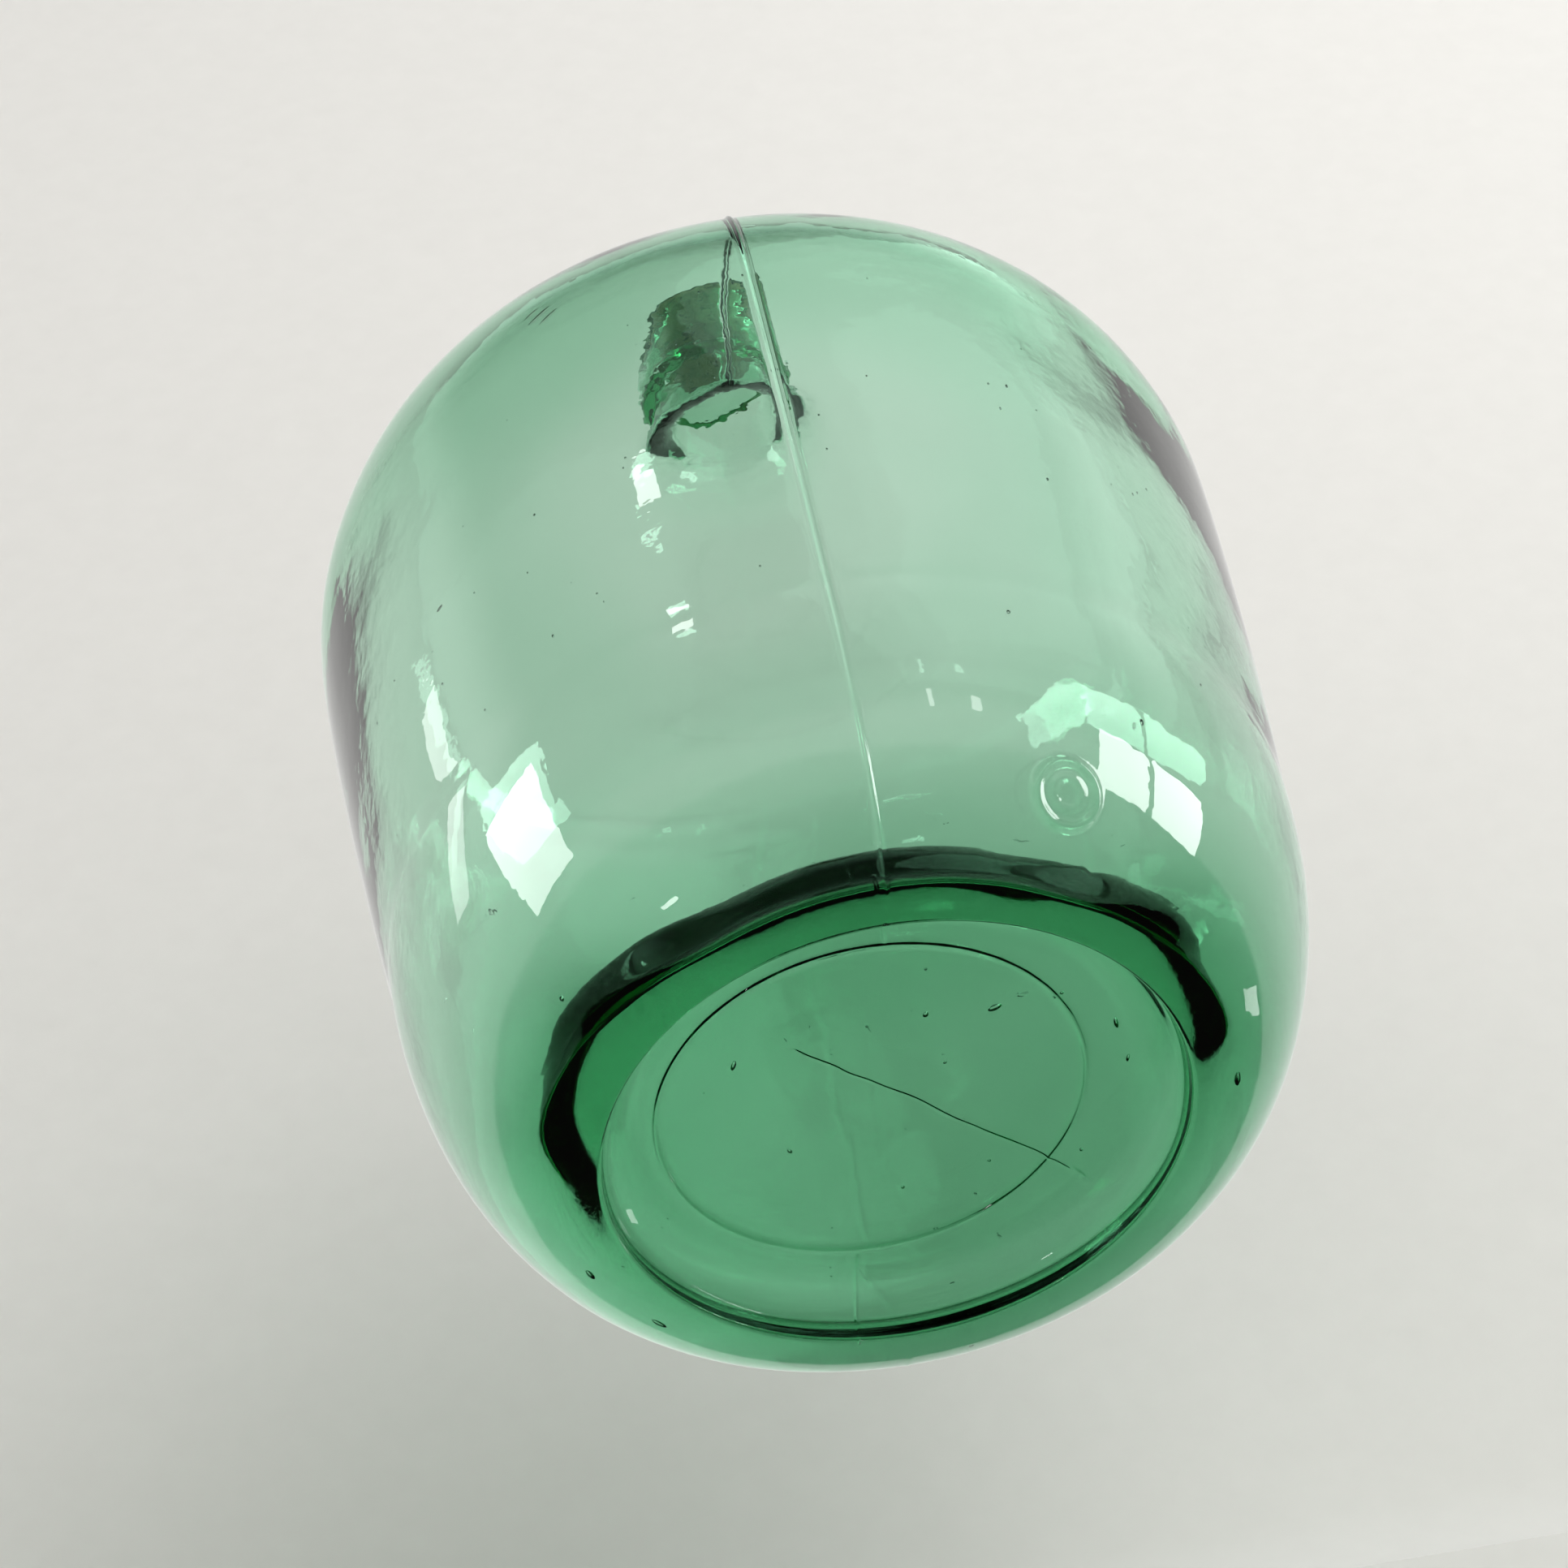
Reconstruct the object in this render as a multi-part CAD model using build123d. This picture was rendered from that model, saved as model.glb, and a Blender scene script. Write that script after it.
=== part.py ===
"""One-gallon green glass carboy: a mould-blown vessel, a tooled lip band, a stamped seal and a cork.

Millimetres, +Z up. The origin is the centre of the foot ring, on the plane that the carboy stands on.
The mould's parting plane is the YZ plane, so its two seams run up the front (-Y) and the back (+Y).
"""
from build123d import *
import math
import os

# Foot: a flat ring around a recess whose floor curves down to it
FOOT_INNER_R = 57.0
FOOT_OUTER_R = 60.0
RECESS_FLOOR_R = 46.0
RECESS_DEPTH = 10.0
PUNT_RISE = 1.5
PLUG_MARK_R = 42.0
PLUG_STEP = 0.4

# Body: heel, gently flaring side, round shoulder and low dome
HEEL_TOP_R = 92.0
HEEL_TOP_Z = 61.0
BODY_R = 98.0
SIDE_BULGE = 0.9
SHOULDER_R = 52.0
SHOULDER_Z = 152.5
DOME_SLOPE = 20.0
NECK_ROOT_R = 13.0

# Neck and mouth: the cork's seat tapers from the mouth down to the throat
NECK_R = 16.0
MOUTH_Z = 273.0
RIM_ROUND = 1.6
MOUTH_R = 13.0
THROAT_R = 11.8
SEAT_DEPTH = 26.0

# Glass thickness: a thick disc over the recess, and a thin wall everywhere else
SIDE_WALL = 3.2
BASE_WALL = 11.0
FLOOR_EDGE_R = 50.0
VALLEY_R = 63.0
VALLEY_Z = 10.0
HEEL_FOOT_R = 73.0
HEEL_FOOT_Z = 12.0

# Lip band: a ribbon of glass laid round the end of the neck and tooled
BAND_R = 19.6
BAND_WIDTH = 27.0
BAND_ROUND = 2.4

# Seal: a stamped button of glass on the heel, to the right of the front seam
SEAL_R = 7.5
SEAL_RISE = 1.2
SEAL_SHOULDER = 0.9
SEAL_FIELD_R = 5.8
SEAL_FIELD_DEPTH = 0.5
SEAL_Z = 13.0
SEAL_BEARING = 26.5

# Cork: a tapered plug, pushed part of the way into the mouth
CORK_DEPTH = 14.0
CORK_STAND = 9.0
CORK_CLEARANCE = 0.06
CORK_CHAMFER = 0.8

SEAT_TAPER = (MOUTH_R - THROAT_R) / SEAT_DEPTH


def polar(centre, radius, degrees):
    """Point at an angle above the horizontal from a centre, in the (r, z) half plane."""
    angle = math.radians(degrees)
    return centre[0] + radius * math.cos(angle), centre[1] + radius * math.sin(angle)


def heel(foot, top):
    """Quarter ellipse that leaves the foot flat and meets the side upright."""
    return EllipticalCenterArc((foot[0], top[1]), top[0] - foot[0], top[1] - foot[1], -90, arc_size=90)


def floor_arc(radius, z):
    """Low dome over the middle of the base."""
    return ThreePointArc((0, z + PUNT_RISE), (radius / 2, z + 0.75 * PUNT_RISE), (radius, z))


def side_to_neck(depth, neck_r):
    """Side, shoulder, dome and neck root at a depth under the outer skin, with the neck's foot."""
    bend_r = SHOULDER_R - depth
    centre = (BODY_R - SHOULDER_R, SHOULDER_Z)
    side_foot = (HEEL_TOP_R - depth, HEEL_TOP_Z)
    side_middle = ((HEEL_TOP_R + BODY_R) / 2 + SIDE_BULGE - depth, (HEEL_TOP_Z + SHOULDER_Z) / 2)
    side_top = (BODY_R - depth, SHOULDER_Z)
    crest = polar(centre, bend_r, 90 - DOME_SLOPE)
    slope = math.radians(DOME_SLOPE)
    root_r = NECK_ROOT_R + depth
    dome_top_r = neck_r + root_r * (1 - math.sin(slope))
    dome_top_z = crest[1] + (crest[0] - dome_top_r) * math.tan(slope)
    root_centre = (neck_r + root_r, dome_top_z + root_r * math.cos(slope))
    neck_foot = (neck_r, root_centre[1])
    lines = [
        ThreePointArc(side_foot, side_middle, side_top),
        ThreePointArc(side_top, polar(centre, bend_r, 45 - DOME_SLOPE / 2), crest),
        Line(crest, (dome_top_r, dome_top_z)),
        ThreePointArc((dome_top_r, dome_top_z), polar(root_centre, root_r, 225 - DOME_SLOPE / 2), neck_foot),
    ]
    return lines, neck_foot


def outer_skin():
    """Outer skin from the middle of the base to the top of the neck, where the rim begins."""
    plug_z = RECESS_DEPTH + PLUG_STEP
    plug_edge = (PLUG_MARK_R + PLUG_STEP, RECESS_DEPTH)
    curve_r = FOOT_INNER_R - RECESS_FLOOR_R
    walls, neck_foot = side_to_neck(0, NECK_R)
    return [
        floor_arc(PLUG_MARK_R, plug_z),
        Line((PLUG_MARK_R, plug_z), plug_edge),
        Line(plug_edge, (RECESS_FLOOR_R, RECESS_DEPTH)),
        EllipticalCenterArc((RECESS_FLOOR_R, 0), curve_r, RECESS_DEPTH, 0, arc_size=90),
        Line((FOOT_INNER_R, 0), (FOOT_OUTER_R, 0)),
        heel((FOOT_OUTER_R, 0), (HEEL_TOP_R, HEEL_TOP_Z)),
        *walls,
        Line(neck_foot, (NECK_R, MOUTH_Z)),
    ]


def rim():
    """Flat top of the mouth, rounded into the bore."""
    centre = (MOUTH_R + RIM_ROUND, MOUTH_Z - RIM_ROUND)
    top = (centre[0], MOUTH_Z)
    return [
        Line((NECK_R, MOUTH_Z), top),
        ThreePointArc(top, polar(centre, RIM_ROUND, 135), (MOUTH_R, centre[1])),
    ]


def inner_skin():
    """Inner skin from the mouth down the tapered seat and the throat to the middle of the floor."""
    walls, throat_foot = side_to_neck(SIDE_WALL, THROAT_R)
    floor_z = RECESS_DEPTH + PLUG_STEP + BASE_WALL
    seat_foot = (THROAT_R, MOUTH_Z - SEAT_DEPTH)
    heel_foot = (HEEL_FOOT_R, HEEL_FOOT_Z)
    valley = (VALLEY_R, VALLEY_Z)
    fall_r = (FLOOR_EDGE_R + VALLEY_R) / 2
    return [
        Line((MOUTH_R, MOUTH_Z - RIM_ROUND), seat_foot),
        Line(seat_foot, throat_foot),
        *walls,
        heel(heel_foot, (HEEL_TOP_R - SIDE_WALL, HEEL_TOP_Z)),
        Line(heel_foot, valley),
        Bezier(valley, (fall_r, VALLEY_Z), (fall_r, floor_z), (FLOOR_EDGE_R, floor_z)),
        floor_arc(FLOOR_EDGE_R, floor_z),
    ]


def turned(lines):
    """Solid turned about the Z axis from a closed outline in the (r, z) half plane."""
    return revolve(Plane.XZ * make_face(Wire(lines)), Axis.Z)


def glass_vessel():
    """Hollow body and neck, blown as one piece of glass."""
    base_bottom = (0, RECESS_DEPTH + PLUG_STEP + PUNT_RISE)
    base_top = (0, base_bottom[1] + BASE_WALL)
    return turned([*outer_skin(), *rim(), *inner_skin(), Line(base_top, base_bottom)])


def filled_vessel():
    """The vessel as if it were solid glass, for cutting what is laid on it to its curve."""
    base_bottom = (0, RECESS_DEPTH + PLUG_STEP + PUNT_RISE)
    top = (0, MOUTH_Z)
    return turned([*outer_skin(), Line((NECK_R, MOUTH_Z), top), Line(top, base_bottom)])


def lip_band():
    """Band of glass round the end of the neck, with both outer edges rounded over."""
    bottom_z = MOUTH_Z - BAND_WIDTH
    middle = Pos(0, 0, bottom_z + BAND_WIDTH / 2)
    band = middle * (Cylinder(BAND_R, BAND_WIDTH) - Cylinder(NECK_R, BAND_WIDTH))
    outer_edges = band.edges().filter_by(GeomType.CIRCLE).group_by(SortBy.RADIUS)[-1]
    return fillet(outer_edges, BAND_ROUND)


def heel_frame():
    """Plane touching the heel at the seal, with its normal pointing out of the glass."""
    reach = HEEL_TOP_R - FOOT_OUTER_R
    turn = math.acos(1 - SEAL_Z / HEEL_TOP_Z)
    radius = FOOT_OUTER_R + reach * math.sin(turn)
    bearing = math.radians(SEAL_BEARING)
    out = Vector(math.sin(bearing), -math.cos(bearing), 0)
    normal = out * (HEEL_TOP_Z * math.sin(turn)) - Vector(0, 0, reach * math.cos(turn))
    across = Vector(0, 0, 1).cross(out)
    return Plane(origin=out * radius + Vector(0, 0, SEAL_Z), x_dir=across, z_dir=normal)


def glass_seal():
    """Stamped button with a raised rim round a sunk field, cut underneath to the heel's curve."""
    root_z = -SEAL_R / 2
    field_z = SEAL_RISE - SEAL_FIELD_DEPTH
    rim_foot = (SEAL_R, SEAL_RISE - SEAL_SHOULDER)
    rim_crest = ((SEAL_R + SEAL_FIELD_R) / 2, SEAL_RISE)
    button = turned([
        Line((0, root_z), (SEAL_R, root_z)),
        Line((SEAL_R, root_z), rim_foot),
        ThreePointArc(rim_foot, rim_crest, (SEAL_FIELD_R, field_z)),
        Line((SEAL_FIELD_R, field_z), (0, field_z)),
        Line((0, field_z), (0, root_z)),
    ])
    return heel_frame().location * button - filled_vessel()


def cork_stopper():
    """Tapered cork, a running clearance smaller than its seat at every height."""
    length = CORK_DEPTH + CORK_STAND
    bottom_r = MOUTH_R - SEAT_TAPER * CORK_DEPTH - CORK_CLEARANCE
    top_r = MOUTH_R + SEAT_TAPER * CORK_STAND - CORK_CLEARANCE
    cork = Pos(0, 0, MOUTH_Z - CORK_DEPTH + length / 2) * Cone(bottom_r, top_r, length)
    return chamfer(cork.edges().filter_by(GeomType.CIRCLE), CORK_CHAMFER)


def main():
    """Write one STEP file per piece."""
    os.makedirs("parts", exist_ok=True)
    for build in (glass_vessel, lip_band, glass_seal, cork_stopper):
        export_step(build(), f"parts/{build.__name__}.step")


main()
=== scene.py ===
"""Looks of a green glass carboy with a cork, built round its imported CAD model, in metres.

The glass is one closed skin, outside and inside, because hot glass laid on hot glass leaves no surface
between. Bearings are in degrees round the +Z axis, from the front seam (-Y) towards +X.
"""
import math
import random

import bpy
from mathutils import Matrix, Vector, noise


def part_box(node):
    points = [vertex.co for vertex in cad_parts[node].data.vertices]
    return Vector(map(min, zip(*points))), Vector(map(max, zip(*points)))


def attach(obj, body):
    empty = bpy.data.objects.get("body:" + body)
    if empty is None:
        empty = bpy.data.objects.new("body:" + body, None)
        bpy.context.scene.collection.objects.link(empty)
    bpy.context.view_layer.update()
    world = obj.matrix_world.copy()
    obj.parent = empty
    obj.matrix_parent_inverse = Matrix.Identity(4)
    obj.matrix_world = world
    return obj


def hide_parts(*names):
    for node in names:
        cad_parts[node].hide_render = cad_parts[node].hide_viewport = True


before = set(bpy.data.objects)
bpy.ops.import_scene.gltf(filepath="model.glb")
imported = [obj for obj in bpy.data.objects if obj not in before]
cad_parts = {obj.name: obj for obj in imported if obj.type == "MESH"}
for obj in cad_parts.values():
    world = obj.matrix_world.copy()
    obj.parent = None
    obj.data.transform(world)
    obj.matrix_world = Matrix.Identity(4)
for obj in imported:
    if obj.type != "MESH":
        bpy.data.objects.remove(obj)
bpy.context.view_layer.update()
VESSEL_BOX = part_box("glass_vessel")
BAND_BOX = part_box("lip_band")
CORK_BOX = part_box("cork_stopper")

bl_info = {
    "name": "Glass carboy",
    "version": (1, 0, 0),
    "blender": (4, 5, 0),
    "location": "View3D > Sidebar > Carboy",
    "description": "Models a mould-blown glass carboy and its cork, with a plain studio",
    "category": "Add Mesh",
}

MM = 0.001
RIM_ROUND = 1.6 * MM
WELD = MM / 200
PLUG_BEARING = math.radians(-74)
UNDERSIDE_TOP = 12.5 * MM
TUCK_START = 42 * MM
HEEL_BLEND_R = 90 * MM
NECK_TAPER = 12 * MM


# Settings


def length(name, description, millimetres):
    """A length property with its default in millimetres."""
    return bpy.props.FloatProperty(
        name=name, description=description, default=millimetres * MM, unit="LENGTH", precision=5)


def colour(name, description, default):
    """A colour property."""
    return bpy.props.FloatVectorProperty(
        name=name, description=description, default=default, subtype="COLOR", size=3, min=0, max=1)


class CarboyGlass(bpy.types.PropertyGroup):
    """Sizes of the glass, outside and inside."""
    foot_inner_r: length("Foot inner radius", "Inner edge of the ring that the carboy stands on", 57)
    foot_outer_r: length("Foot outer radius", "Where the foot ring turns up into the heel", 60)
    foot_round: length("Foot rounding", "Radius of the foot ring's inner edge", 1.2)
    recess_depth: length("Recess depth", "Height of the recess floor above the foot", 10)
    recess_floor_r: length("Recess floor radius", "Where the recess floor starts to curve down", 46)
    punt_rise: length("Punt rise", "How far the middle of the base is pushed up", 1.9)
    heel_r: length("Heel radius", "Body radius at the top of the heel", 92)
    heel_z: length("Heel height", "Height of the top of the heel", 61)
    side_bulge: length("Side bulge", "How far the side bows out between heel and shoulder", 0.9)
    shoulder_z: length("Shoulder height", "Height where the side turns into the shoulder", 152.5)
    shoulder_r: length("Shoulder bend", "Radius of the shoulder's bend", 52)
    dome_slope: bpy.props.FloatProperty(
        name="Dome slope", description="Slope of the dome between shoulder and neck",
        default=math.radians(20), unit="ROTATION")
    root_r: length("Neck root radius", "Radius of the bend from the dome into the neck", 13)
    neck_r: length("Neck radius", "Outer radius of the neck", 16)
    mouth_r: length("Mouth radius", "Bore radius at the mouth", 13)
    throat_r: length("Throat radius", "Bore radius in the neck", 11.8)
    seat_depth: length("Seat depth", "Length of the tapered seat for the cork", 26)
    side_wall: length("Side wall", "Glass thickness of the side and the dome", 2.6)
    base_wall: length("Base thickness", "Glass thickness of the base", 11.4)
    floor_edge_r: length("Floor edge radius", "Where the inner floor starts to fall towards the heel", 51.5)
    valley_r: length("Valley radius", "Radius of the lowest line inside, above the foot ring, in front", 61)
    valley_z: length("Valley height", "Height of that lowest line", 9.5)
    valley_fill: length("Valley fill", "How much shallower that line lies at the sides", 6)
    edge_tuck: length("Edge tuck", "How far the fall's edge moves out beside the front, to steepen it", 4.5)
    valley_spread: length("Valley spread", "How much further out that line lies at the back", 7.5)
    shoulder_thinning: length("Shoulder thinning", "How much thinner the shoulder was blown", 1.0)


class CarboyMarks(bpy.types.PropertyGroup):
    """Marks that the mould and the maker left."""
    seam_height: length("Seam height", "How far the mould seams stand out", 0.5)
    seam_width: length("Seam width", "Width of the mould seams", 1.1)
    plug_r: length("Plug mark radius", "Radius of the ridge that the base plug left", 42)
    plug_offset: length("Plug mark offset", "How far that ridge lies off the axis", 3.8)
    plug_height: length("Plug mark height", "Height of that ridge", 0.5)
    seal_r: length("Seal radius", "Radius of the stamped seal on the heel", 7.5)
    seal_rise: length("Seal rise", "How far the seal stands out", 1.1)
    seal_z: length("Seal height", "Height of the seal above the foot", 13)
    seal_bearing: bpy.props.FloatProperty(
        name="Seal bearing", description="Bearing of the seal from the front seam",
        default=math.radians(26.5), unit="ROTATION")
    wave: length("Waves", "Height of the broad waves in the outer skin", 0.22)
    inner_wave: length("Inner waves", "Height of the broad waves in the inner skin", 0.6)


class CarboyFinish(bpy.types.PropertyGroup):
    """Colours and surface of the glass and the cork."""
    absorption: colour("Glass tint", "Colour that the glass lets through", (0.10, 0.68, 0.386))
    density: bpy.props.FloatProperty(
        name="Tint density", description="How fast the glass takes up light, per metre", default=122)
    ior: bpy.props.FloatProperty(name="Index", description="Refractive index of the glass", default=1.5)
    cork_light: colour("Cork, light", "Colour of clean cork", (0.62, 0.44, 0.27))
    cork_dark: colour("Cork, dark", "Colour of cork's pores and stains", (0.13, 0.07, 0.035))


GROUPS = {"carboy_glass": CarboyGlass, "carboy_marks": CarboyMarks, "carboy_finish": CarboyFinish}


# Shader maths


class Shade:
    """A shader socket that takes part in Python expressions by adding Math nodes."""

    def __init__(self, tree, socket):
        self.tree = tree
        self.socket = socket

    def math(self, operation, *values):
        return self.tree.add("ShaderNodeMath", {"operation": operation}, dict(enumerate(values)))

    def __add__(self, other):
        return self.math("ADD", self, other)

    __radd__ = __add__

    def __sub__(self, other):
        return self.math("SUBTRACT", self, other)

    def __rsub__(self, other):
        return self.math("SUBTRACT", other, self)

    def __mul__(self, other):
        return self.math("MULTIPLY", self, other)

    __rmul__ = __mul__

    def absolute(self):
        return self.math("ABSOLUTE", self)

    def band(self, low, high):
        """0 below low, 1 above high, smooth between."""
        settings = {"interpolation_type": "SMOOTHSTEP", "clamp": True}
        limits = {"Value": self, "From Min": low, "From Max": high}
        return self.tree.add("ShaderNodeMapRange", settings, limits)


class Nodes:
    """A node tree, with one method that adds every node."""

    def __init__(self, node_tree):
        self.nodes = node_tree.nodes
        self.links = node_tree.links

    def add(self, kind, settings=(), sockets=(), output=0):
        """A node of a kind, with its settings first and then its sockets' values or links."""
        node = self.nodes.new(kind)
        for name, value in dict(settings).items():
            if name == "stops":
                self.set_stops(node.color_ramp, value)
            else:
                setattr(node, name, value)
        for name, value in dict(sockets).items():
            if isinstance(value, Shade):
                self.links.new(value.socket, node.inputs[name])
            else:
                node.inputs[name].default_value = value
        return Shade(self, node.outputs[output]) if node.outputs else None

    @staticmethod
    def set_stops(ramp, stops):
        while len(ramp.elements) < len(stops):
            ramp.elements.new(0.5)
        for element, (position, value) in zip(ramp.elements, stops):
            element.position = position
            element.color = (*value, 1)

    def blend(self, factor, a, b):
        """One colour mixed into another; a Mix node's colours are its sockets 6 and 7, and output 2."""
        return self.add("ShaderNodeMix", {"data_type": "RGBA"}, {0: factor, 6: a, 7: b}, output=2)


class Material(Nodes):
    """A new material, with its usual patterns."""

    def __init__(self, name):
        self.material = bpy.data.materials.new(name)
        self.material.use_nodes = True
        self.material.node_tree.nodes.clear()
        super().__init__(self.material.node_tree)

    def place(self, scale=(1, 1, 1), location=(0, 0, 0)):
        """Object coordinates, scaled and moved."""
        coordinates = self.add("ShaderNodeTexCoord", output="Object")
        sockets = {"Vector": coordinates, "Scale": scale, "Location": location}
        return self.add("ShaderNodeMapping", (), sockets)

    def grain(self, per_metre, detail=2.0, roughness=0.5, stretch=(1, 1, 1)):
        """Noise from 0 to 1 with so many waves a metre."""
        return self.add("ShaderNodeTexNoise", {"noise_dimensions": "3D"}, {
            "Vector": self.place(stretch), "Scale": per_metre, "Detail": detail, "Roughness": roughness})

    def height(self):
        """Height above the foot, in metres."""
        place = self.add("ShaderNodeTexCoord", output="Object")
        return self.add("ShaderNodeSeparateXYZ", (), {"Vector": place}, output="Z")

    def finish(self, surface, volume=None):
        """The finished material, from its surface shader and perhaps a volume shader."""
        sockets = {"Surface": surface}
        if volume is not None:
            sockets["Volume"] = volume
        self.add("ShaderNodeOutputMaterial", (), sockets)
        return self.material


def underside(z):
    """1 on the outer face of the base, 0 on all glass higher up."""
    return 1 - z.band(UNDERSIDE_TOP, UNDERSIDE_TOP + 0.5 * MM)


def crease(m, start, end, width, wobble):
    """Height from 0 to 1 of a fine crease on the recess floor, between two (x, y) points in millimetres."""
    start, end = Vector(start) * MM, Vector(end) * MM
    way = (end - start).normalized()
    place = m.add("ShaderNodeTexCoord", output="Object")
    x, y, z = (m.add("ShaderNodeSeparateXYZ", (), {"Vector": place}, output=axis) for axis in "XYZ")
    along = (x - start.x) * way.x + (y - start.y) * way.y
    across = (y - start.y) * way.x - (x - start.x) * way.y + (m.grain(38, detail=2.0) - 0.5) * wobble
    reach = (end - start).length
    ends = along.band(-2 * MM, 3 * MM) * (1 - along.band(reach - 2 * MM, reach))
    return ends * (1 - across.absolute().band(0.0, width)) * underside(z)


def plug_ridge(m, marks):
    """Height from 0 to 1 of the crisp crest of the plug mark's ridge."""
    place = m.add("ShaderNodeTexCoord", output="Object")
    level = m.add("ShaderNodeVectorMath", {"operation": "MULTIPLY"}, {0: place, 1: (1, 1, 0)})
    middle = on_bearing(marks.plug_offset, PLUG_BEARING, 0)
    distance = m.add("ShaderNodeVectorMath", {"operation": "DISTANCE"}, {0: level, 1: middle}, output="Value")
    return underside(m.height()) * (1 - (distance - marks.plug_r).absolute().band(0.0, 0.7 * MM))


def glass_material(marks, finish):
    """Old green bottle glass: orange peel outside, scuffed on its foot, tinted by its thickness."""
    m = Material("green_glass")
    peel = m.grain(150, detail=2.5)
    ripple = m.grain(42, detail=1.0, stretch=(1, 1, 0.55))
    specks = m.grain(900, detail=1.0)
    on_foot = 1 - m.height().band(0.0, 0.9 * MM)
    scuffs = m.grain(700, detail=4.0, roughness=0.7).band(0.42, 0.7) * on_foot
    shear = crease(m, (-18, -17.5), (36, 27.5), 0.45 * MM, 5 * MM)
    hook = crease(m, (35.5, 26.5), (38.6, 30.6), 0.8 * MM, 0)
    front_notch = crease(m, (-0.6, -57), (0.4, -43), 0.6 * MM, 1 * MM)
    back_notch = crease(m, (-8, 42), (-10, 58), 0.6 * MM, 2 * MM)
    relief = peel * 0.045 + ripple * 0.16 + specks * 0.001 + scuffs * 0.01
    relief += shear * 0.5 + (hook + front_notch + back_notch) * 0.7 + plug_ridge(m, marks) * 0.35
    normal = m.add("ShaderNodeBump", (), {"Height": relief, "Strength": 1.0, "Distance": MM})
    surface = m.add("ShaderNodeBsdfPrincipled", (), {
        "Base Color": (1, 1, 1, 1), "Transmission Weight": 1.0, "IOR": finish.ior,
        "Roughness": scuffs * 0.12, "Normal": normal})
    tint = m.add("ShaderNodeVolumeAbsorption", (), {
        "Color": (*finish.absorption, 1), "Density": finish.density})
    return m.finish(surface, tint)


def cork_material(finish):
    """Bark cork: warm mottled brown with dark pores, its colour darker towards its lower end, which sits in
    the glass.
    """
    m = Material("bark_cork")
    mottle = m.grain(220, detail=5.0, roughness=0.62, stretch=(1, 1, 0.7))
    light = tuple(finish.cork_light)
    base = m.add("ShaderNodeValToRGB", {"stops": [
        (0.3, tuple(0.62 * c for c in light)), (0.52, light), (0.72, tuple(1.25 * c for c in light))]}, {
        "Fac": mottle})
    pits = m.grain(300, detail=3.0, roughness=0.7, stretch=(1.0, 1.0, 2.4)).band(0.56, 0.64)
    cells = m.add("ShaderNodeTexVoronoi", {"feature": "DISTANCE_TO_EDGE"}, {
        "Vector": m.place((1, 1, 0.5)), "Scale": 330.0})
    cracks = 1 - cells.band(0.0, 0.06)
    # Colour darker towards the cork's lower end, the end inside the neck.
    lower_end_darkening = 1 - m.height().band(CORK_BOX[0][2] + 2 * MM, CORK_BOX[0][2] + 20 * MM)
    dark = (*finish.cork_dark, 1)
    tone = m.blend(pits * 0.85 + cracks * 0.25, m.blend(lower_end_darkening * 0.3, base, dark), dark)
    relief = mottle * 0.25 - pits * 0.5 - cracks * 0.1
    normal = m.add("ShaderNodeBump", (), {"Height": relief, "Strength": 0.8, "Distance": MM})
    surface = m.add("ShaderNodeBsdfPrincipled", (), {
        "Base Color": tone, "Roughness": 0.78 + pits * 0.15, "Normal": normal, "Specular IOR Level": 0.3})
    return m.finish(surface)


def backdrop_material():
    """Matt pale paint that shows only from its front."""
    m = Material("studio_paper")
    tooth = m.grain(120, detail=3.0)
    paper = m.blend(tooth, (0.80, 0.79, 0.765, 1), (0.84, 0.83, 0.805, 1))
    front = m.add("ShaderNodeBsdfPrincipled", (), {
        "Base Color": paper, "Roughness": 0.9, "Specular IOR Level": 0.1})
    back = m.add("ShaderNodeBsdfTransparent")
    behind = m.add("ShaderNodeNewGeometry", output="Backfacing")
    return m.finish(m.add("ShaderNodeMixShader", (), {0: behind, 1: front, 2: back}))


# Drawing with operators


def draw_path(name, corners):
    """Chain of edges through (x, y, z) corners, drawn by extruding one vertex."""
    bpy.ops.object.select_all(action="DESELECT")
    bpy.ops.mesh.primitive_plane_add(size=MM, location=corners[0])
    piece = bpy.context.object
    piece.name = piece.data.name = name
    bpy.ops.object.transform_apply(location=True, rotation=True, scale=True)
    bpy.ops.object.mode_set(mode="EDIT")
    bpy.ops.mesh.select_all(action="SELECT")
    bpy.ops.mesh.merge(type="CENTER")
    for here, there in zip(corners, corners[1:]):
        step = tuple(b - a for a, b in zip(here, there))
        bpy.ops.mesh.extrude_vertices_move(TRANSFORM_OT_translate={"value": step})
    bpy.ops.object.mode_set(mode="OBJECT")
    return piece


def draw_outline(name, points):
    """Chain of edges through (radius, height) points on the -Y side."""
    return draw_path(name, [(0, -radius, z) for radius, z in points])


def turn(piece, arcs):
    """Spins a piece's outline right round the Z axis in arcs of (degrees, steps), and merges its seams."""
    bpy.ops.object.mode_set(mode="EDIT")
    bpy.ops.mesh.select_all(action="SELECT")
    for degrees, steps in arcs:
        bpy.ops.mesh.spin(steps=steps, angle=math.radians(degrees), center=(0, 0, 0), axis=(0, 0, -1))
    bpy.ops.mesh.select_all(action="SELECT")
    bpy.ops.mesh.remove_doubles(threshold=WELD)
    bpy.ops.mesh.normals_make_consistent(inside=False)
    bpy.ops.object.mode_set(mode="OBJECT")
    bpy.ops.object.shade_smooth()


def emboss(piece, height):
    """Moves every vertex along its normal by height(place), in metres."""
    mesh = piece.data
    normals = [v.normal.copy() for v in mesh.vertices]
    for vertex, normal in zip(mesh.vertices, normals):
        vertex.co += normal * height(vertex.co)
    mesh.update()


def bump_at(distance, width):
    """Smooth rise from 0 far off to 1 where distance is 0."""
    return math.exp(-((distance / width) ** 2))


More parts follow.
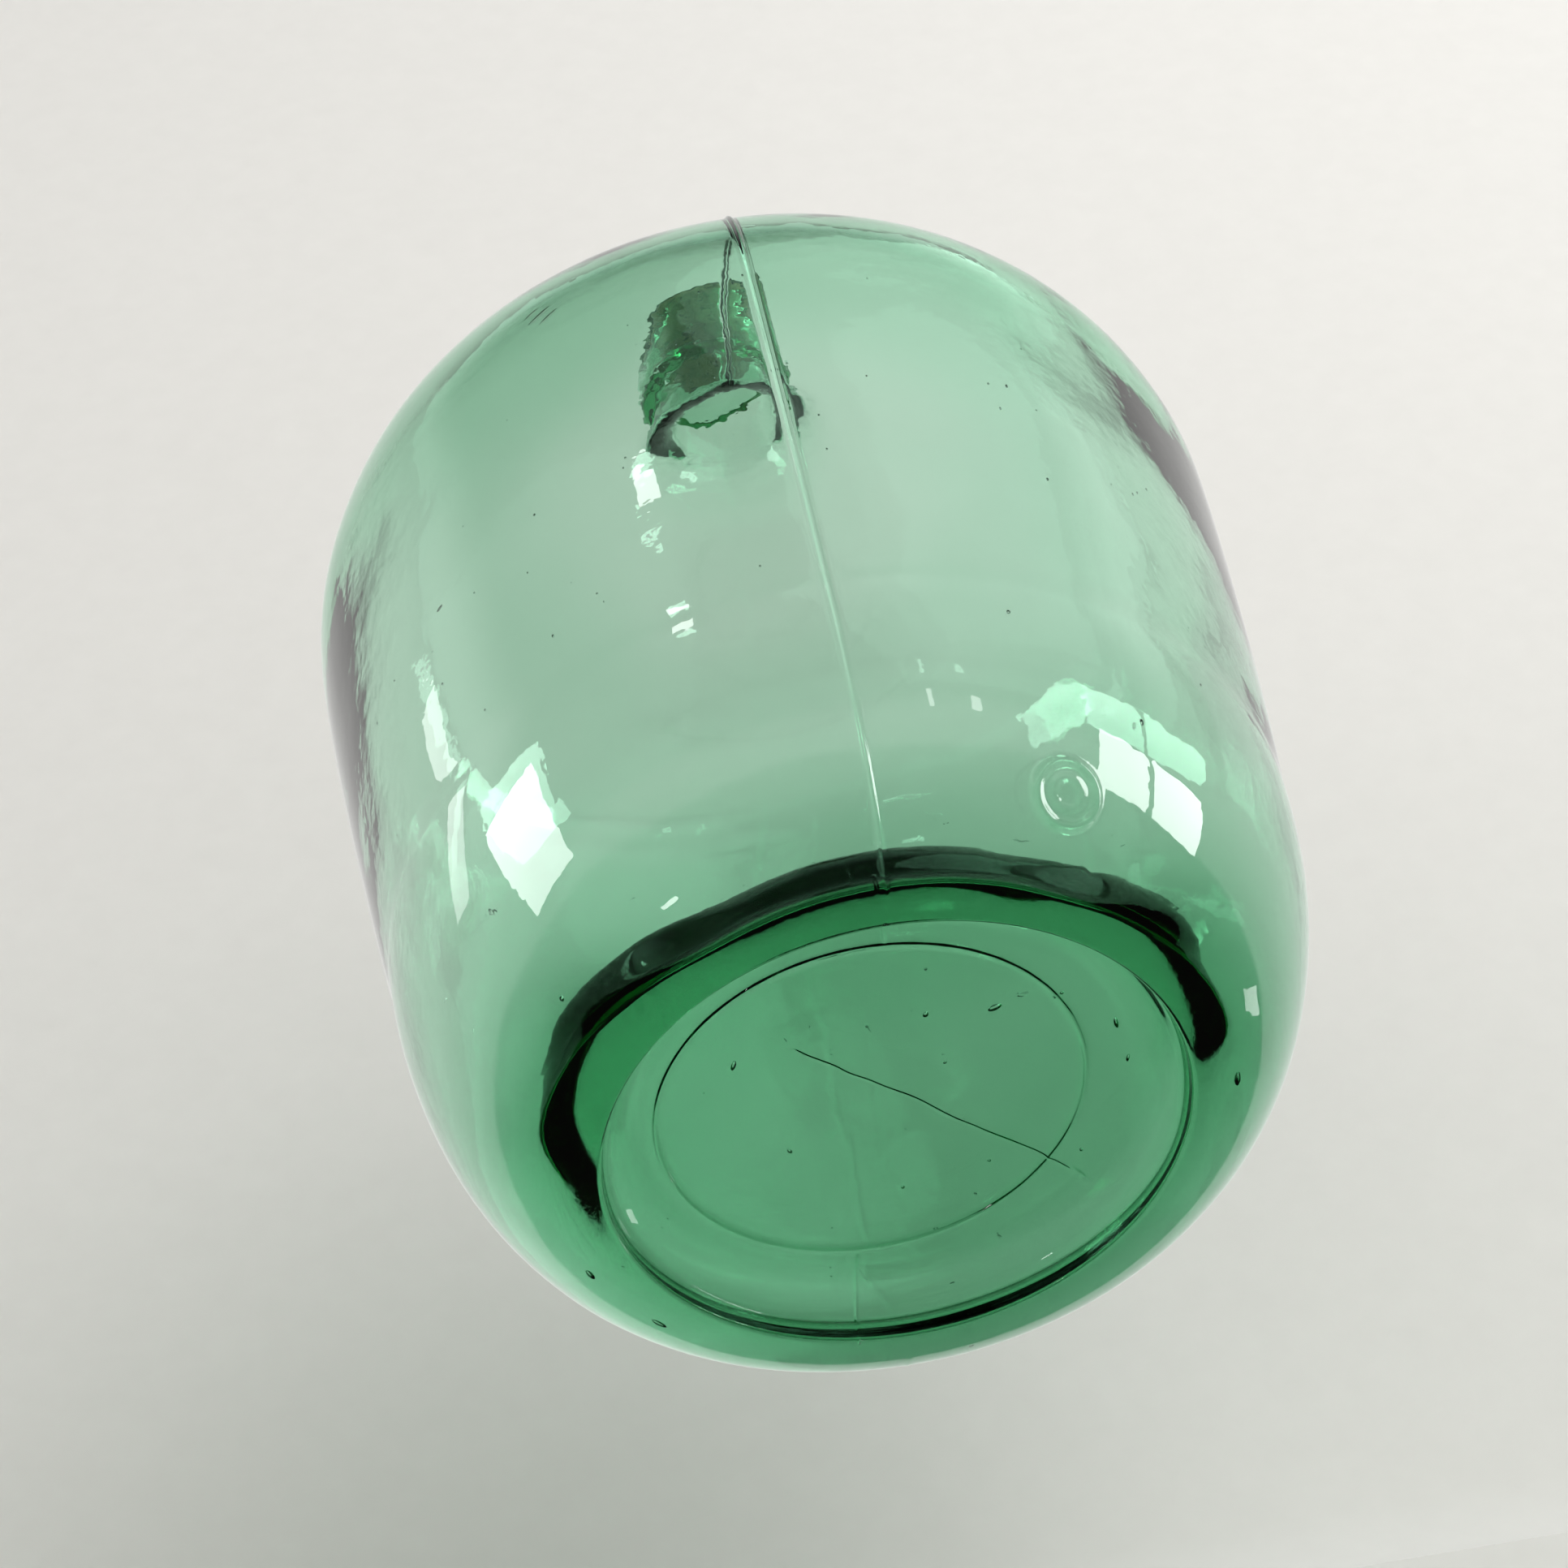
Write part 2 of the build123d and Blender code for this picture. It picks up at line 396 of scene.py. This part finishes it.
def ramp(value, low, high):
    """0 below low, 1 above high, smooth between."""
    share = min(max((value - low) / (high - low), 0), 1)
    return share * share * (3 - 2 * share)


# Outline of the glass


def polar(centre, radius, degrees):
    """Point at an angle above the horizontal from a centre, in the (r, z) half plane."""
    angle = math.radians(degrees)
    return centre[0] + radius * math.cos(angle), centre[1] + radius * math.sin(angle)


def arc(centre, radius, start, end, steps):
    """Points along an arc, its first point left out."""
    return [polar(centre, radius, start + (end - start) * i / steps) for i in range(1, steps + 1)]


def straight(start, end, steps):
    """Points along a line, its first point left out."""
    return [
        (start[0] + (end[0] - start[0]) * i / steps, start[1] + (end[1] - start[1]) * i / steps)
        for i in range(1, steps + 1)]


def floor_dome(radius, z, rise, steps):
    """Points from the axis out over a base that is pushed up in the middle."""
    shares = [i / steps for i in range(steps + 1)]
    return [(radius * s, z + rise * (1 - s * s)) for s in shares]


def easing(start, end, steps):
    """Points along a curve that leaves one point level and reaches the other level, the first left out."""
    shares = [i / steps for i in range(1, steps + 1)]
    return [
        (start[0] + (end[0] - start[0]) * (1.5 * s * (1 - s) + s ** 3),
         start[1] + (end[1] - start[1]) * s * s * (3 - 2 * s)) for s in shares]


def heel(foot, top, spacing):
    """Points up a quarter ellipse that leaves the foot flat and meets the side upright."""
    reach, rise = top[0] - foot[0], top[1] - foot[1]
    points, angle = [], 0.0
    while True:
        speed = math.hypot(reach * math.cos(angle), rise * math.sin(angle))
        angle += spacing(foot[1] + rise * (1 - math.cos(angle))) / speed
        if angle > math.pi / 2 - 0.5 * spacing(top[1]) / rise:
            return [*points, top]
        points.append((foot[0] + reach * math.sin(angle), foot[1] + rise * (1 - math.cos(angle))))


def side_to_neck(g, depth, neck_r, spacing):
    """Points up the side, over the shoulder and dome, and into the neck, at a depth under the outer skin."""
    body_r = VESSEL_BOX[1][0]
    bend_r = g.shoulder_r - depth
    centre = (body_r - g.shoulder_r, g.shoulder_z)
    side_steps = math.ceil((g.shoulder_z - g.heel_z) / spacing)
    side = []
    for i in range(1, side_steps + 1):
        s = i / side_steps
        bow = 4 * g.side_bulge * s * (1 - s)
        side.append((g.heel_r + (body_r - g.heel_r) * s + bow - depth,
                     g.heel_z + (g.shoulder_z - g.heel_z) * s))
    slope = math.degrees(g.dome_slope)
    crest = polar(centre, bend_r, 90 - slope)
    root_r = g.root_r + depth
    foot_r = neck_r + root_r * (1 - math.sin(g.dome_slope))
    foot = (foot_r, crest[1] + (crest[0] - foot_r) * math.tan(g.dome_slope))
    root_centre = (neck_r + root_r, foot[1] + root_r * math.cos(g.dome_slope))
    return [
        *side,
        *arc(centre, bend_r, 0, 90 - slope, math.ceil(bend_r * math.radians(90 - slope) / spacing)),
        *straight(crest, foot, math.ceil((crest[0] - foot[0]) / spacing)),
        *arc(root_centre, root_r, 270 - slope, 180, 12)]


def outer_points(g, seal_z):
    """Outer skin from the middle of the base to the lip band's underside."""
    def spacing(z):
        return 0.6 * MM if abs(z - seal_z) < 10 * MM else 3 * MM

    foot_edge = (g.foot_inner_r + g.foot_round, g.foot_round)
    plain_r = g.recess_floor_r - 10 * MM
    floor = floor_dome(g.recess_floor_r, g.recess_depth, g.punt_rise, 80)
    reach, drop = g.foot_inner_r - g.recess_floor_r, g.recess_depth - g.foot_round
    turns = [math.radians(90 * i / 24) for i in range(1, 25)]
    wall = [
        (g.recess_floor_r + reach * math.sin(a), g.recess_depth - drop * (1 - math.cos(a))) for a in turns]
    return [
        *[p for i, p in enumerate(floor) if p[0] > plain_r or i % 8 == 0],
        *wall,
        *arc(foot_edge, g.foot_round, 180, 270, 5),
        *straight((foot_edge[0], 0), (g.foot_outer_r, 0), 2),
        *heel((g.foot_outer_r, 0), (g.heel_r, g.heel_z), spacing),
        *side_to_neck(g, 0, g.neck_r, 4 * MM)]


def band_points(g):
    """Lip band from its underside, where it meets the neck, over the rim to the edge of the bore."""
    bottom, top, band_r = BAND_BOX[0][2], BAND_BOX[1][2], BAND_BOX[1][0]
    low, high = 2.6 * MM, 3.0 * MM
    rim_centre = (g.mouth_r + RIM_ROUND, top - RIM_ROUND)
    return [
        *straight((g.neck_r, bottom - NECK_TAPER), (g.neck_r, bottom), 12),
        *straight((g.neck_r, bottom), (band_r - low, bottom), 2),
        *arc((band_r - low, bottom + low), low, 270, 360, 7),
        *straight((band_r, bottom + low), (band_r, top - high), 34),
        *arc((band_r - high, top - high), high, 0, 90, 8),
        *straight((band_r - high, top), (rim_centre[0], top), 2),
        *arc(rim_centre, RIM_ROUND, 90, 180, 6)]


def inner_points(g):
    """Inner skin from the edge of the bore to the middle of the floor."""
    top = BAND_BOX[1][2]
    seat_foot = (g.throat_r, top - g.seat_depth)
    wall = side_to_neck(g, g.side_wall, g.throat_r, 5 * MM)
    edge = (g.floor_edge_r, g.recess_depth + g.base_wall)
    valley = (g.valley_r, g.valley_z)
    up = [
        *floor_dome(*edge, g.punt_rise, 16),
        *easing(edge, valley, 14),
        *heel(valley, (g.heel_r - g.side_wall, g.heel_z), lambda z: 2.5 * MM),
        *wall]
    return [
        (g.mouth_r, top - RIM_ROUND),
        *straight((g.mouth_r, top - RIM_ROUND), seat_foot, 12),
        *straight(seat_foot, up[-1], 5)[:-1],
        *reversed(up)]


# Relief of the glass


def on_bearing(radius, bearing, z):
    """Point at a radius and a bearing."""
    return Vector((radius * math.sin(bearing), -radius * math.cos(bearing), z))


def heel_radius(g, z):
    """Radius of the outer heel at a height."""
    return g.foot_outer_r + (g.heel_r - g.foot_outer_r) * math.sin(math.acos(1 - z / g.heel_z))


def from_segment(place, start, end):
    """Distance of a place from a segment, and how far along the segment it lies, from 0 to 1."""
    way = end - start
    share = min(max((place - start).dot(way) / way.length_squared, 0), 1)
    return (place - start - way * share).length, share


def outer_relief(g, marks):
    """Function that gives the height of the outer skin's marks and waves at a place on it."""
    seal = on_bearing(heel_radius(g, marks.seal_z), marks.seal_bearing, marks.seal_z)
    drip_end = on_bearing(heel_radius(g, 5 * MM), marks.seal_bearing + math.radians(6), 5 * MM)
    plug = on_bearing(marks.plug_offset, PLUG_BEARING, g.recess_depth)
    band_z = BAND_BOX[0][2]

    def height(place):
        radius, z = math.hypot(place.x, place.y), place.z
        waves = marks.wave * (noise.noise(place * 17) + 0.3 * noise.noise(place * 60))
        if radius < g.foot_inner_r + MM and z < 2 * g.recess_depth:
            from_ridge = math.hypot(place.x - plug.x, place.y - plug.y) - marks.plug_r
            return waves * 0.6 * ramp(z, 5 * MM, 9 * MM) + marks.plug_height * bump_at(from_ridge, 0.8 * MM)
        seam = bump_at(place.x, marks.seam_width / 2) * ramp(z, 0.3 * MM, 1.5 * MM)
        seam *= (1 if place.y < 0 else 0.3) * (1 - ramp(z, band_z - 2 * MM, band_z))
        relief = waves * ramp(z, 0, 6 * MM) + marks.seam_height * seam
        from_seal = (place - seal).length
        if from_seal < 3 * marks.seal_r:
            disc = 1 - ramp(from_seal, marks.seal_r - 1.0 * MM, marks.seal_r)
            field = 1 - ramp(from_seal, marks.seal_r - 2.6 * MM, marks.seal_r - 1.5 * MM)
            middle = bump_at(from_seal - 3.0 * MM, 0.7 * MM)
            drip, along = from_segment(place, seal, drip_end)
            relief += marks.seal_rise * disc - 0.6 * MM * field + 0.25 * MM * middle
            relief += 0.3 * MM * bump_at(drip, (0.5 + 0.6 * ramp(along, 0.75, 1)) * MM) * (1 - disc)
        if z > band_z - 8 * MM:
            tooled = noise.noise(Vector((place.x * 90, place.y * 90, z * 210)))
            lapped = noise.noise(Vector((place.x * 45, place.y * 45, 7.0)))
            fade = ramp(z, band_z - 8 * MM, band_z)
            relief += fade * (0.45 * MM * tooled + 0.5 * MM * lapped - 0.35 * MM)
        return relief * (1 - ramp(z, BAND_BOX[1][2] - 3 * MM, BAND_BOX[1][2] - 1.7 * MM))

    return height


def slump_floor(piece, g):
    """Reshapes the inner floor's fall: steeper beside the front, wider and shallower further round."""
    for vertex in piece.data.vertices:
        radius = math.hypot(vertex.co.x, vertex.co.y)
        if vertex.co.z > g.heel_z or radius < TUCK_START:
            continue
        bearing = abs(math.degrees(math.atan2(vertex.co.x, -vertex.co.y)))
        fill = g.valley_fill * (ramp(bearing, 30, 68) - 0.7 * ramp(bearing, 85, 120))
        spread = g.valley_spread * (0.7 * ramp(bearing, 50, 90) + 0.3 * ramp(bearing, 90, 120))
        share = ramp(radius, g.floor_edge_r, g.valley_r) * (1 - ramp(radius, g.valley_r, HEEL_BLEND_R))
        steepened = ramp(bearing, 25, 50) * (1 - ramp(bearing, 80, 100))
        at_edge = ramp(radius, TUCK_START, 51 * MM) * (1 - ramp(radius, 53 * MM, g.valley_r))
        tuck = g.edge_tuck * steepened * at_edge
        vertex.co.z += fill * share
        vertex.co.xy *= 1 + (spread * share + tuck) / radius
    piece.data.update()


def inner_relief(g, marks):
    """Function that gives the height of the inner skin's waves at a place on it."""
    def height(place):
        fade = 1 - ramp(place.z, BAND_BOX[1][2] - 1.9 * g.seat_depth, BAND_BOX[1][2] - g.seat_depth)
        broad = noise.noise(place * 15 + Vector((5, 1, 3)))
        narrow = noise.noise(place * 48)
        radius = math.hypot(place.x, place.y)
        thin = ramp(place.z, 105 * MM, 155 * MM) * ramp(radius, 34 * MM, 62 * MM)
        return fade * (marks.inner_wave * (broad + 0.28 * narrow) + g.shoulder_thinning * thin)

    return height


# Seeds, the gas bubbles in the glass


def add_seed(place, along, size):
    """A bubble, long along a direction; size is its length and width. Its faces look into the bubble."""
    bpy.ops.mesh.primitive_ico_sphere_add(subdivisions=2, radius=1, location=place)
    seed = bpy.context.object
    seed.scale = (size[1] / 2, size[1] / 2, size[0] / 2)
    seed.rotation_mode = "QUATERNION"
    seed.rotation_quaternion = Vector(along).to_track_quat("Z", "Y")
    bpy.ops.object.transform_apply(location=True, rotation=True, scale=True)
    bpy.ops.object.shade_smooth()
    bpy.ops.object.mode_set(mode="EDIT")
    bpy.ops.mesh.select_all(action="SELECT")
    bpy.ops.mesh.flip_normals()
    bpy.ops.object.mode_set(mode="OBJECT")
    return seed


# Seeds in the base: radius and bearing (degrees), length and width, the way each one points.
BASE_SEEDS = [
    (33, -63, 2.6, 1.0, 80), (22, 21, 1.5, 1.1, 0), (29, 47, 3.0, 1.5, 20), (40, 58, 1.1, 0.8, 0),
    (46, 76, 3.4, 0.9, 95), (47, 89, 2.2, 0.7, 100), (13, 60, 0.8, 0.7, 0), (20, -10, 0.7, 0.6, 0),
    (34, 14, 0.7, 0.6, 0), (23, -120, 1.5, 0.8, 90), (30, 140, 0.9, 0.7, 0), (27, 176, 0.9, 0.8, 0),
    (44.5, 122, 1.0, 0.7, 40)]
# Seeds in the heel and side: height, bearing, length and width, tilt from the vertical.
WALL_SEEDS = [
    (2.5, 90, 4.6, 2.0, 75), (3, -114, 3.4, 1.2, 95), (2.5, -132, 4.0, 1.1, 90), (9, -54, 1.6, 0.9, 0),
    (159, -26, 6.0, 0.9, 62), (157, -24.8, 5.0, 0.7, 62), (161, -27, 4.0, 0.7, 62), (50, 21, 0.9, 0.8, 0),
    (102, -49, 2.0, 0.6, 80), (51, 50, 1.2, 0.5, 20), (32, 38, 1.6, 0.8, 0), (120, 150, 3.0, 0.8, 70),
    (70, 110, 2.4, 0.9, 10), (140, -140, 3.5, 0.8, 60), (40, 170, 2.0, 1.2, 0)]


def wall_radius(g, z):
    """Outer radius of the heel or the side at a height."""
    if z < g.heel_z:
        return heel_radius(g, z)
    share = min((z - g.heel_z) / (g.shoulder_z - g.heel_z), 1)
    return g.heel_r + (VESSEL_BOX[1][0] - g.heel_r) * share


def add_seeds(g):
    """All the seeds: the large ones in their places and fine ones scattered."""
    seeds = []
    for radius, bearing, long, wide, way in BASE_SEEDS:
        turned = math.radians(bearing + way)
        place = on_bearing(radius * MM, math.radians(bearing), g.recess_depth + 3.2 * MM)
        seeds.append(add_seed(place, (math.sin(turned), -math.cos(turned), 0.12), (long * MM, wide * MM)))
    depth = 1.6 * MM
    for z, bearing, long, wide, tilt in WALL_SEEDS:
        angle, lean = math.radians(bearing), math.radians(tilt)
        inset = depth + (1.6 * MM if z < 10 else 0)
        place = on_bearing(wall_radius(g, z * MM) - inset, angle, z * MM + (1.5 * MM if z < 5 else 0))
        level = Vector((math.cos(angle), math.sin(angle), 0))
        way = level * math.sin(lean) + Vector((0, 0, math.cos(lean)))
        seeds.append(add_seed(place, way, (long * MM, min(wide, 1.3) * MM)))
    draw = random.Random(11)
    for _ in range(130):
        angle, z = draw.uniform(0, 2 * math.pi), draw.uniform(64, 150) * MM
        size = draw.uniform(0.22, 0.5) * MM
        place = on_bearing(wall_radius(g, z) - depth, angle, z)
        seeds.append(add_seed(place, (0, 0, 1), (size * draw.uniform(1, 2.2), size)))
    return seeds


# Columns of the glass round the axis, as (degrees, steps): fine at both seams and at the seal.
COLUMNS = [
    (0.5, 6), (1, 3), (18.5, 9), (13, 32), (145.5, 73), (1, 3), (1, 12), (1, 3), (177, 88), (1, 3), (0.5, 6)]


def merge_pieces(pieces):
    """Joins pieces into the first one."""
    bpy.ops.object.select_all(action="DESELECT")
    for piece in pieces:
        piece.select_set(True)
    bpy.context.view_layer.objects.active = pieces[0]
    bpy.ops.object.join()
    return pieces[0]


def build_glass(g, marks, finish):
    """The glass: its two skins, closed at the rim, with the seeds inside."""
    outer = draw_outline("carboy_glass", [*outer_points(g, marks.seal_z), *band_points(g)])
    turn(outer, COLUMNS)
    emboss(outer, outer_relief(g, marks))
    inner = draw_outline("inner_skin", inner_points(g))
    turn(inner, COLUMNS)
    slump_floor(inner, g)
    emboss(inner, inner_relief(g, marks))
    glass = merge_pieces([outer, inner])
    bpy.ops.object.mode_set(mode="EDIT")
    bpy.ops.mesh.select_all(action="SELECT")
    bpy.ops.mesh.remove_doubles(threshold=WELD)
    bpy.ops.mesh.normals_make_consistent(inside=False)
    bpy.ops.object.mode_set(mode="OBJECT")
    face_sides = sum(len(face.vertices) for face in glass.data.polygons)
    if 2 * sum(not edge.is_loose for edge in glass.data.edges) != face_sides:
        raise RuntimeError("The glass isn't closed at its rim")
    glass = merge_pieces([glass, *add_seeds(g)])
    glass.data.materials.clear()
    glass.data.materials.append(glass_material(marks, finish))
    return glass


# Cork


def build_cork(g, finish):
    """The cork: a tapered bark cork with worn edges and open pores."""
    low, high = CORK_BOX[0][2], CORK_BOX[1][2]
    top_r = CORK_BOX[1][0]
    taper = (g.mouth_r - g.throat_r) / g.seat_depth
    low_r = top_r - taper * (high - low)
    worn = 1.1 * MM
    points = [
        *[(low_r * i / 14, low) for i in range(13)],
        *arc((low_r - worn, low + worn), worn, 270, 360, 5),
        *straight((low_r, low + worn), (top_r, high - worn), 64),
        *arc((top_r - worn, high - worn), worn, 0, 90, 6),
        *[(top_r * i / 32, high) for i in range(29, -1, -1)]]
    cork = draw_outline("bark_cork_stopper", points)
    turn(cork, [(360, 128)])

    def pores(place):
        fine = noise.noise(Vector((place.x * 420, place.y * 420, place.z * 170)))
        deep = noise.noise(Vector((place.x * 160, place.y * 160, place.z * 90 + 4)))
        rough = 0.5 + 0.5 * noise.noise(place * 900)
        return -MM * (0.10 * rough + 0.55 * ramp(fine, 0.30, 0.55) + 0.7 * ramp(deep, 0.42, 0.6))

    emboss(cork, pores)
    cork.data.materials.append(cork_material(finish))
    return cork


# Studio


FLOOR_Z = -0.3 * MM
WALL_Y = 0.18
BEND = 0.03
SKIRT = 1.2
REAR = 8.0


def build_backdrop():
    """A pale floor that curves up into a wall behind the carboy."""
    top, half_width, front = 2.4, 6.0, -8.0
    curve = arc((WALL_Y - BEND, FLOOR_Z + BEND), BEND, 270, 360, 16)
    profile = [(front, FLOOR_Z), (WALL_Y - BEND, FLOOR_Z), *curve, (WALL_Y, top)]
    backdrop = draw_path("backdrop", [(-half_width, y, z) for y, z in profile])
    bpy.ops.object.mode_set(mode="EDIT")
    bpy.ops.mesh.select_all(action="SELECT")
    bpy.ops.mesh.extrude_edges_move(TRANSFORM_OT_translate={"value": (2 * half_width, 0, 0)})
    bpy.ops.mesh.select_all(action="SELECT")
    bpy.ops.mesh.normals_make_consistent(inside=False)
    bpy.ops.object.mode_set(mode="OBJECT")
    if backdrop.data.polygons[0].normal.z < 0:
        backdrop.data.flip_normals()
    bpy.ops.object.shade_smooth()
    return backdrop


def build_sheet(name, size, place, tilt):
    """A flat square of backdrop, tipped up by so many degrees."""
    bpy.ops.object.select_all(action="DESELECT")
    bpy.ops.mesh.primitive_plane_add(size=size, location=place, rotation=(math.radians(tilt), 0, 0))
    sheet = bpy.context.object
    sheet.name = sheet.data.name = name
    bpy.ops.object.transform_apply(location=True, rotation=True, scale=True)
    return sheet


def build_surroundings():
    """Floor and wall, the wall's part below the floor for a low camera, and the floor behind the wall."""
    paper = backdrop_material()
    parts = [
        build_backdrop(),
        build_sheet("backdrop_skirt", SKIRT, (0, WALL_Y, BEND + 0.01 - SKIRT / 2), 90),
        build_sheet("backdrop_rear", REAR, (0, WALL_Y - BEND + REAR / 2, FLOOR_Z), 0)]
    for part in parts:
        part.data.materials.append(paper)
        part.visible_glossy = False
    return parts


CAMERA_BEARING = math.radians(-7.5)
AIM = Vector((0, 0, 0.9 * VESSEL_BOX[1][0]))


def add_panel(name, bearing, elevation, size, radiance, lean=0.0, seen="all"):
    """A soft rectangular light 1.5 m off that faces the carboy's middle.

    Angles are in degrees, from the camera's side. It is seen by all rays, or only lights matt surfaces
    ("matt"), or only shows in glossy ones ("glossy")."""
    distance = 1.5
    turned, rise = math.radians(bearing) + CAMERA_BEARING, math.radians(elevation)
    way = Vector((math.sin(turned) * math.cos(rise), -math.cos(turned) * math.cos(rise), math.sin(rise)))
    light = bpy.data.lights.new(name, "AREA")
    light.shape = "RECTANGLE"
    light.size, light.size_y = size
    light.energy = radiance * math.pi * size[0] * size[1]
    panel = bpy.data.objects.new(name, light)
    bpy.context.collection.objects.link(panel)
    facing = way.to_track_quat("Z", "Y").to_matrix().to_4x4()
    spun = Matrix.Rotation(math.radians(lean), 4, "Z")
    panel.matrix_world = Matrix.Translation(AIM + way * distance) @ facing @ spun
    panel.visible_camera = False
    panel.visible_diffuse = seen != "glossy"
    panel.visible_glossy = seen != "matt"
    return panel


def build_lights():
    """A soft key for the floor and wall, two windows, and small panels that only glint."""
    for size in (0.9, 1.3, 1.7, 2.1):  # stacked, so that the key fades towards its edges
        add_panel("key", 55, 38, (size, size), 2.1 / size, seen="matt")
    add_panel("fill", -50, 20, (1.6, 1.6), 0.35, seen="matt")
    add_panel("low_fill", 20, -50, (1.2, 1.2), 1.2, seen="matt").visible_transmission = False
    add_panel("left_window", -66, 16, (0.42, 0.80), 9, lean=12, seen="glossy")
    add_panel("right_window_near", 72.5, 2, (0.36, 0.47), 11, seen="glossy")
    add_panel("right_window_far", 87.5, 2, (0.36, 0.47), 11, seen="glossy")
    add_panel("high_glint", -20, 41, (0.10, 0.05), 9, seen="glossy")
    add_panel("low_glint", -46, -38, (0.10, 0.06), 12, seen="glossy")
    add_panel("middle_glint", 29, 9, (0.03, 0.14), 6, seen="glossy")
    add_panel("middle_glint_far", 38, 8, (0.05, 0.10), 6, seen="glossy")
    add_panel("side_glint", -90, 32, (0.16, 0.5), 3, seen="glossy")
    add_panel("rear_glint", 129, -14, (0.14, 0.3), 4, seen="glossy")


def build_world():
    """Pale daylight round the horizon, a dim room below the floor and high in front."""
    world = bpy.data.worlds.new("daylight")
    world.use_nodes = True
    world.node_tree.nodes.clear()
    sky = Nodes(world.node_tree)
    way = sky.add("ShaderNodeTexCoord", output="Generated")
    height = sky.add("ShaderNodeSeparateXYZ", (), {"Vector": way}, output="Z")
    ahead = -1 * sky.add("ShaderNodeSeparateXYZ", (), {"Vector": way}, output="Y")
    above = height.band(-0.09, -0.02)
    room = height.band(0.12, 0.26) * (ahead + 0.35 * height).band(0.25, 0.5)
    light = above * (1 - 0.94 * room)
    colour = sky.blend(light, (0.035, 0.037, 0.032, 1), (0.99, 0.985, 0.96, 1))
    background = sky.add("ShaderNodeBackground", (), {"Color": colour, "Strength": 0.85})
    sky.add("ShaderNodeOutputWorld", (), {"Surface": background})
    bpy.context.scene.world = world


def build_camera():
    """Camera low in front, looking up past the foot."""
    camera = bpy.data.objects.new("camera", bpy.data.cameras.new("camera"))
    bpy.context.collection.objects.link(camera)
    elevation, roll, distance = math.radians(-46.28), math.radians(-13.96), 0.8365
    aside, upward = 8.0 * MM, 9.6 * MM
    back = Vector((0, -math.cos(elevation), math.sin(elevation)))
    side = Vector((1, 0, 0))
    rise = back.cross(side)
    right = side * math.cos(roll) + rise * math.sin(roll)
    up = rise * math.cos(roll) - side * math.sin(roll)
    position = AIM + back * distance
    back = (position - (AIM - aside * right + upward * up)).normalized()
    right = (right - back * right.dot(back)).normalized()
    up = back.cross(right)
    turned = Matrix.Rotation(CAMERA_BEARING, 3, "Z")
    facing = (turned @ Matrix((right, up, back)).transposed()).to_4x4()
    camera.matrix_world = Matrix.Translation(turned @ position) @ facing
    camera.data.sensor_width = 36
    camera.data.lens = 93.17
    camera.data.clip_end = 20
    bpy.context.scene.camera = camera
    return camera


# Operators, panel and registration


class CARBOY_OT_glass(bpy.types.Operator):
    """Model the carboy's glass with its lip, seams, seal and seeds"""
    bl_idname = "carboy.glass"
    bl_label = "Carboy glass"

    def execute(self, context):
        scene = context.scene
        glass = build_glass(scene.carboy_glass, scene.carboy_marks, scene.carboy_finish)
        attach(glass, "vessel")
        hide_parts("glass_vessel", "lip_band", "glass_seal")
        return {"FINISHED"}


class CARBOY_OT_cork(bpy.types.Operator):
    """Model the cork stopper"""
    bl_idname = "carboy.cork"
    bl_label = "Cork stopper"

    def execute(self, context):
        scene = context.scene
        cork = build_cork(scene.carboy_glass, scene.carboy_finish)
        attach(cork, "stopper")
        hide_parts("cork_stopper")
        return {"FINISHED"}


class CARBOY_OT_stage(bpy.types.Operator):
    """Set up the plain floor, the soft light and the camera"""
    bl_idname = "carboy.stage"
    bl_label = "Studio"

    def execute(self, context):
        for part in build_surroundings():
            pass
        build_lights()
        build_world()
        build_camera()
        context.scene.view_settings.view_transform = "Standard"
        return {"FINISHED"}


OPERATORS = (CARBOY_OT_glass, CARBOY_OT_cork, CARBOY_OT_stage)


class CARBOY_PT_panel(bpy.types.Panel):
    """Sizes, finishes and steps of the carboy"""
    bl_label = "Glass carboy"
    bl_idname = "CARBOY_PT_panel"
    bl_space_type = "VIEW_3D"
    bl_region_type = "UI"
    bl_category = "Carboy"

    def draw(self, context):
        for operator in OPERATORS:
            self.layout.operator(operator.bl_idname)
        for group in GROUPS:
            box = self.layout.box()
            for name in GROUPS[group].__annotations__:
                box.prop(getattr(context.scene, group), name)


CLASSES = (*GROUPS.values(), *OPERATORS, CARBOY_PT_panel)


def register():
    for cls in CLASSES:
        bpy.utils.register_class(cls)
    for name, group in GROUPS.items():
        setattr(bpy.types.Scene, name, bpy.props.PointerProperty(type=group))


def unregister():
    for name in GROUPS:
        delattr(bpy.types.Scene, name)
    for cls in reversed(CLASSES):
        bpy.utils.unregister_class(cls)


def main():
    register()
    bpy.ops.carboy.glass()
    bpy.ops.carboy.cork()
    bpy.ops.carboy.stage()


if __name__ == "__main__":
    main()
